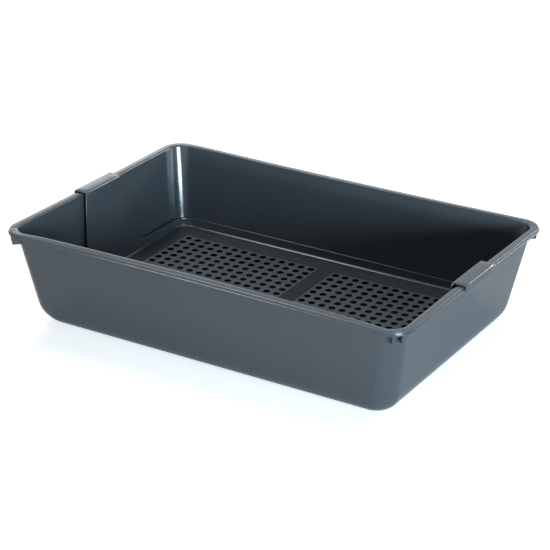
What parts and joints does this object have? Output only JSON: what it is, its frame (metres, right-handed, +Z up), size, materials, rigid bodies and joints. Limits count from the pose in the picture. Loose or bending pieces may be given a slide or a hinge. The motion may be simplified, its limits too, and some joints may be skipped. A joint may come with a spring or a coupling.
{
  "type": "sifting litter tray",
  "caption": "Deep open pet litter tray with a turned rim, holding a perforated sieve insert that hangs from the short sides by hooked straps and lifts straight out.",
  "frame": {"origin": "middle of the flat underside, on the surface that the tray stands on", "axes": "+X along the long side, +Y across the tray, +Z up out of its open mouth"},
  "size_m": [0.5042, 0.353, 0.1191],
  "materials": {
    "tray_plastic": "glossy moulded polypropylene, dark slate grey",
    "sieve_plastic": "glossy moulded polypropylene with two finely textured matte fields, dark slate grey"
  },
  "bodies": {
    "tray": {"outer_tray": "tray_plastic"},
    "sieve": {"sieve_insert": "sieve_plastic"}
  },
  "joints": [
    {"name": "sieve_lift", "type": "slide", "parent": "tray", "child": "sieve", "axis": [0, 0, 1], "range_m": [0, 0.13]}
  ]
}
